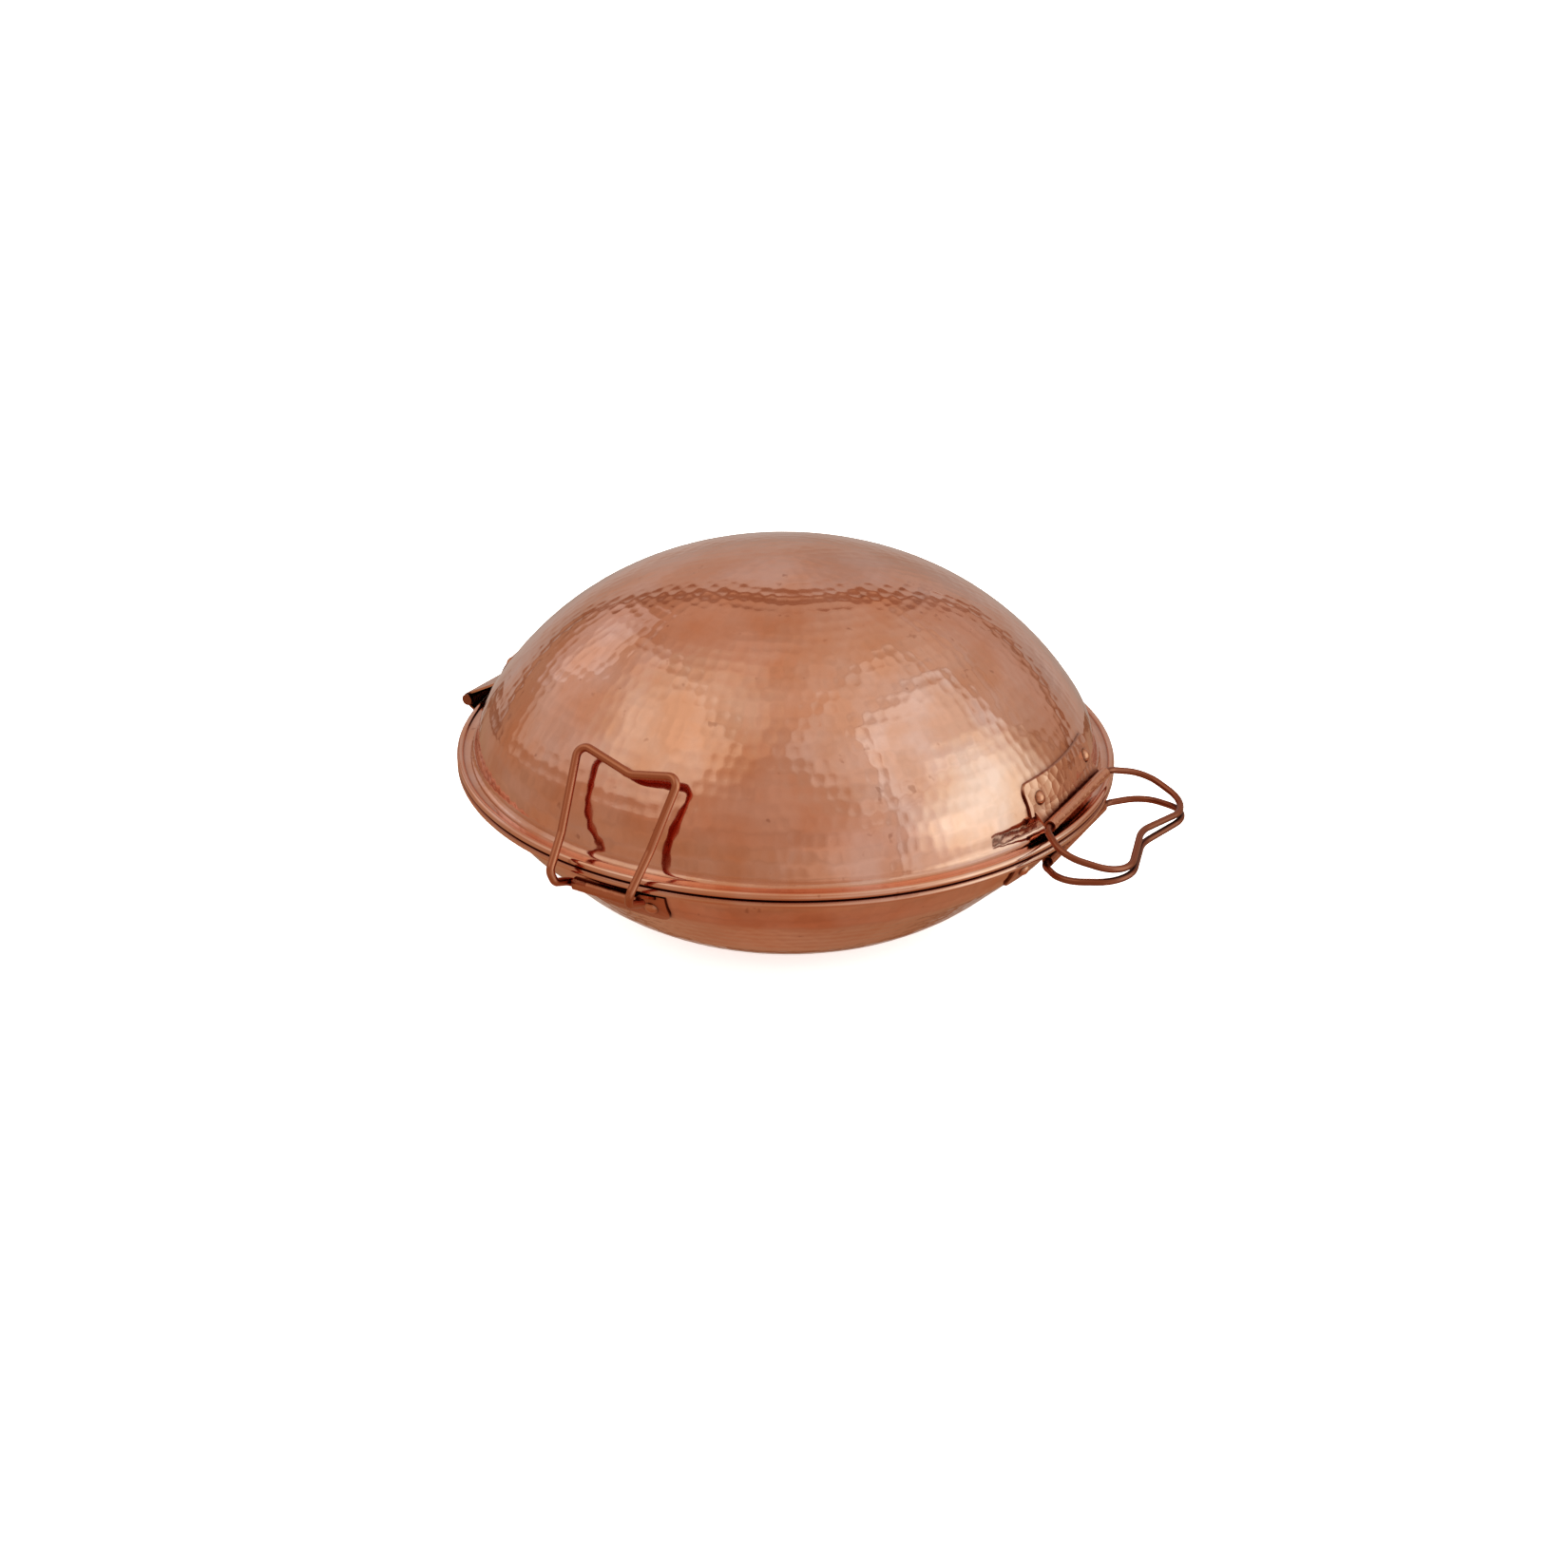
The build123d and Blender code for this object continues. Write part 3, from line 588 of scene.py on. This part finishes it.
# %% Walls, ceiling and floor of the room
ROOM_TONES = [
    # height of the direction, and its linear colour
    (-1.0, (0.38, 0.175, 0.10)), (-0.5, (0.39, 0.23, 0.13)), (-0.1, (0.425, 0.28, 0.20)),
    (0.1, (0.41, 0.25, 0.16)), (0.5, (0.44, 0.27, 0.185)), (1.0, (0.54, 0.36, 0.26))]
world = bpy.data.worlds.new("room")
bpy.context.scene.world = world
world.use_nodes = True
tree = world.node_tree
tree.nodes.clear()
ray = add(tree, "ShaderNodeTexCoord").outputs["Generated"]
ray = add(tree, "ShaderNodeVectorMath", {0: ray}, operation="NORMALIZE").outputs["Vector"]
height = add(tree, "ShaderNodeSeparateXYZ", {"Vector": ray}).outputs["Z"]
level = add(tree, "ShaderNodeMapRange", {"Value": height, "From Min": -1.0, "From Max": 1.0})
bands = add(tree, "ShaderNodeValToRGB", {"Fac": level.outputs["Result"]})
stops = bands.color_ramp.elements
stops[0].color, stops[1].color = (*ROOM_TONES[0][1], 1), (*ROOM_TONES[-1][1], 1)
for position, tone in ROOM_TONES[1:-1]:
    stops.new((position + 1) / 2).color = (*tone, 1)
room = bands.outputs["Color"]
print(len(stops), "bands of colour in the room")

# %% [markdown]
# Large soft lights are painted on in the same way. The dot product of the ray and a direction drops
# as the angle between them grows, and a smooth step between two angles makes a disc with a soft rim.

# %% Soft round lights in the room


def facing(azimuth, elevation):
    """Unit vector of a direction; the azimuth in degrees runs from +Y towards +X."""
    a, e = math.radians(azimuth), math.radians(elevation)
    return Vector((math.sin(a) * math.cos(e), math.cos(a) * math.cos(e), math.sin(e)))


def lit(mask, light):
    """The room with some light added where the mask is 1."""
    return add(tree, "ShaderNodeVectorMath", {0: mask, 1: light, 2: room},
               operation="MULTIPLY_ADD").outputs["Vector"]


def dimmed(mask, change):
    """The room with a share of its light taken away where the mask is 1."""
    share = add(tree, "ShaderNodeVectorMath", {0: mask, 1: change, 2: (1, 1, 1)},
                operation="MULTIPLY_ADD").outputs["Vector"]
    return add(tree, "ShaderNodeVectorMath", {0: room, 1: share},
               operation="MULTIPLY").outputs["Vector"]


ROUND_LIGHTS = [
    # azimuth, elevation, inner and outer angle of its rim, and the light it adds
    (160, 12, 14, 36, (0.40, 0.57, 0.55)),
    (-160, 0, 15, 50, (0.17, 0.21, 0.23)),
    (150, 50, 20, 55, (0.07, 0.12, 0.12)),
    (-40, 60, 8, 32, (0.13, 0.18, 0.15)),
]
for azimuth, elevation, inner, outer, light in ROUND_LIGHTS:
    near = add(tree, "ShaderNodeVectorMath", {0: ray, 1: facing(azimuth, elevation)},
               operation="DOT_PRODUCT")
    disc = add(tree, "ShaderNodeMapRange", {
        "Value": near.outputs["Value"], "From Min": math.cos(math.radians(outer)),
        "From Max": math.cos(math.radians(inner))}, interpolation_type="SMOOTHSTEP")
    room = lit(disc.outputs["Result"], light)
print(len(ROUND_LIGHTS), "round lights in the room")

# %% [markdown]
# Windows have straight, crisp sides and a dark frame. Hammered copper needs such edges: inside an
# even light the facets vanish, and along its edge every facet catches the frame in its own place.
# Dividing the sideways and upward parts of the ray by its forward part keeps straight sides straight.

# %% Windows in the room


def ray_part(direction, shift=0.0, reach=1.0):
    """How far the ray leans to a direction, from a shifted middle, over a reach."""
    lean = add(tree, "ShaderNodeVectorMath", {0: ray, 1: direction}, operation="DOT_PRODUCT")
    return add(tree, "ShaderNodeMapRange", {
        "Value": lean.outputs["Value"], "From Min": shift, "From Max": shift + reach},
        clamp=False).outputs["Result"]


PANE_EDGE = (1.12, 0.9)
FRAME_MIDDLE, FRAME_HALF_WIDTH = 1.08, 0.05
FRAME_TINT = (0.30, 0.38, 0.42)
WINDOWS = [
    # azimuth, elevation, half-width, half-height and roll in degrees, the light it adds,
    # and how dark its frame is
    (167, 18, 27, 46, 18, (0.13, 0.22, 0.28), 0.5),
    (166, 60, 28, 19, 12, (0.07, 0.12, 0.15), 0.25),
    (-21, 44, 38, 20, -30, (0.11, 0.155, 0.17), 0.2),
    (103, 23, 18, 12, -24, (0.04, 0.07, 0.09), 0.6),
    (21, 28, 10, 12, 12, (0.14, 0.19, 0.23), 0.2),
]

for azimuth, elevation, wide, high, roll, light, dark in WINDOWS:
    middle = facing(azimuth, elevation)
    beside = Quaternion(middle, -math.radians(roll)) @ facing(azimuth + 90, 0)
    ahead = add(tree, "ShaderNodeMath", {0: ray_part(middle), 1: 0.001}, operation="MAXIMUM")
    parts = add(tree, "ShaderNodeCombineXYZ", {
        "X": ray_part(beside, reach=math.tan(math.radians(wide))),
        "Y": ray_part(beside.cross(middle), reach=math.tan(math.radians(high)))})
    parts = add(tree, "ShaderNodeVectorMath", {
        0: parts.outputs["Vector"], 1: ahead.outputs["Value"]}, operation="DIVIDE")
    parts = add(tree, "ShaderNodeVectorMath", {0: parts.outputs["Vector"]}, operation="ABSOLUTE")
    parts = add(tree, "ShaderNodeSeparateXYZ", {"Vector": parts.outputs["Vector"]})
    edge = add(tree, "ShaderNodeMath", {0: parts.outputs["X"], 1: parts.outputs["Y"]},
               operation="MAXIMUM").outputs["Value"]
    pane = add(tree, "ShaderNodeMapRange", {
        "Value": edge, "From Min": PANE_EDGE[0], "From Max": PANE_EDGE[1]},
        interpolation_type="SMOOTHSTEP")
    room = lit(pane.outputs["Result"], light)
    bars = add(tree, "ShaderNodeMath", {0: edge, 1: FRAME_MIDDLE, 2: FRAME_HALF_WIDTH},
               operation="COMPARE")
    room = dimmed(bars.outputs["Value"], [-dark * share for share in FRAME_TINT])
print(len(WINDOWS), "windows in the room")

# %% [markdown]
# A pale cloth hangs on the far side like a bell tent: a tall round top over a wide sloping foot. Its
# brown hem is what draws the dark line across the dome, near the top. The ray is measured against an
# oval for the top and against a low triangle for the foot, and the smaller measure is 1 on the hem.

# %% A bell of cloth on the far side
BELL_AZIMUTH = 58
OVAL_SIDE, OVAL_RISE, OVAL_SHIFT = 0.44, 0.71, 0.03
FOOT_SIDE, FOOT_RISE, FOOT_SHIFT = 0.80, 0.42, 0.10
beside = facing(BELL_AZIMUTH + 90, 0)
oval = add(tree, "ShaderNodeCombineXYZ", {
    "X": ray_part(beside, OVAL_SHIFT, OVAL_SIDE), "Y": ray_part((0, 0, 1), reach=OVAL_RISE)})
oval = add(tree, "ShaderNodeVectorMath", {0: oval.outputs["Vector"]}, operation="LENGTH")
foot = add(tree, "ShaderNodeCombineXYZ", {
    "X": ray_part(beside, FOOT_SHIFT, FOOT_SIDE), "Y": ray_part((0, 0, 1), reach=FOOT_RISE)})
foot = add(tree, "ShaderNodeVectorMath", {0: foot.outputs["Vector"]}, operation="ABSOLUTE")
foot = add(tree, "ShaderNodeVectorMath", {0: foot.outputs["Vector"], 1: (1, 1, 0)},
           operation="DOT_PRODUCT")
bell = add(tree, "ShaderNodeMath", {0: oval.outputs["Value"], 1: foot.outputs["Value"]},
           operation="MINIMUM").outputs["Value"]
ahead = add(tree, "ShaderNodeMath", {0: ray_part(facing(BELL_AZIMUTH, 0)), 1: 0.0},
            operation="GREATER_THAN").outputs["Value"]

# %% The light of the cloth, and its hem
inside = add(tree, "ShaderNodeMapRange", {"Value": bell, "From Min": 1.0, "From Max": 0.94},
             interpolation_type="SMOOTHSTEP").outputs["Result"]
inside = add(tree, "ShaderNodeMath", {0: inside, 1: ahead}, operation="MULTIPLY")
room = lit(inside.outputs["Value"], (0.05, 0.12, 0.16))
hem = add(tree, "ShaderNodeMath", {0: bell, 1: 1.03, 2: 0.05}, operation="COMPARE")
hem = add(tree, "ShaderNodeMath", {0: hem.outputs["Value"], 1: ahead}, operation="MULTIPLY")
room = dimmed(hem.outputs["Value"], (-0.35, -0.50, -0.58))

# %% [markdown]
# A real room is never even. A faint noise over all directions gives every hammer mark something a
# little different to mirror, so the facets show even where no lamp is near.

# %% Clutter in the room
clutter = add(tree, "ShaderNodeTexNoise", {"Vector": ray, "Scale": 5.0, "Detail": 2.0})
clutter = add(tree, "ShaderNodeMapRange", {
    "Value": clutter.outputs["Fac"], "From Min": 0.3, "From Max": 0.7, "To Min": 0.9, "To Max": 1.1})
room = add(tree, "ShaderNodeVectorMath", {0: room, "Scale": clutter.outputs["Result"]},
           operation="SCALE").outputs["Vector"]
seen = add(tree, "ShaderNodeLightPath").outputs["Is Camera Ray"]
painted = add(tree, "ShaderNodeBackground", {"Color": room})
plain = add(tree, "ShaderNodeBackground", {"Color": linear("#FFFFFF")})
surface = add(tree, "ShaderNodeMixShader", {
    0: seen, 1: painted.outputs["Background"], 2: plain.outputs["Background"]})
add(tree, "ShaderNodeOutputWorld", {"Surface": surface.outputs["Shader"]})
print("the room has", len(tree.nodes), "nodes")

# %% [markdown]
# The pan stands on a wide sheet of matt white paper under a soft light as wide as a ceiling. A Sun
# lamp with a very large angle is such a ceiling, and the shadow it leaves has no edge. A little
# light of the paper's own keeps that shadow faint. Neither is seen in the copper, because the
# painted room already holds everything that the copper should mirror.

# %% The floor and the light on it
floor_mesh = bpy.data.meshes.new("floor")
floor_mesh.from_pydata([(-12, -12, 0), (12, -12, 0), (12, 12, 0), (-12, 12, 0)], [], [(0, 1, 2, 3)])
floor = bpy.data.objects.new("floor", floor_mesh)
bpy.context.scene.collection.objects.link(floor)
floor.visible_glossy = False
paper = bpy.data.materials.new("matt_white_paper")
paper.use_nodes = True
paper_shader = paper.node_tree.nodes["Principled BSDF"]
paper_shader.inputs["Base Color"].default_value = linear("#F4F3F1")
paper_shader.inputs["Roughness"].default_value = 1.0
paper_shader.inputs["Emission Color"].default_value = linear("#FFFFFF")
paper_shader.inputs["Emission Strength"].default_value = 0.75
floor_mesh.materials.append(paper)

ceiling = bpy.data.objects.new("ceiling_light", bpy.data.lights.new("ceiling_light", "SUN"))
ceiling.data.energy = 5.0
ceiling.data.angle = math.radians(120)
ceiling.visible_glossy = False
bpy.context.scene.collection.objects.link(ceiling)
bpy.context.scene.view_settings.view_transform = "Standard"
print("a light", round(math.degrees(ceiling.data.angle)), "degrees wide")
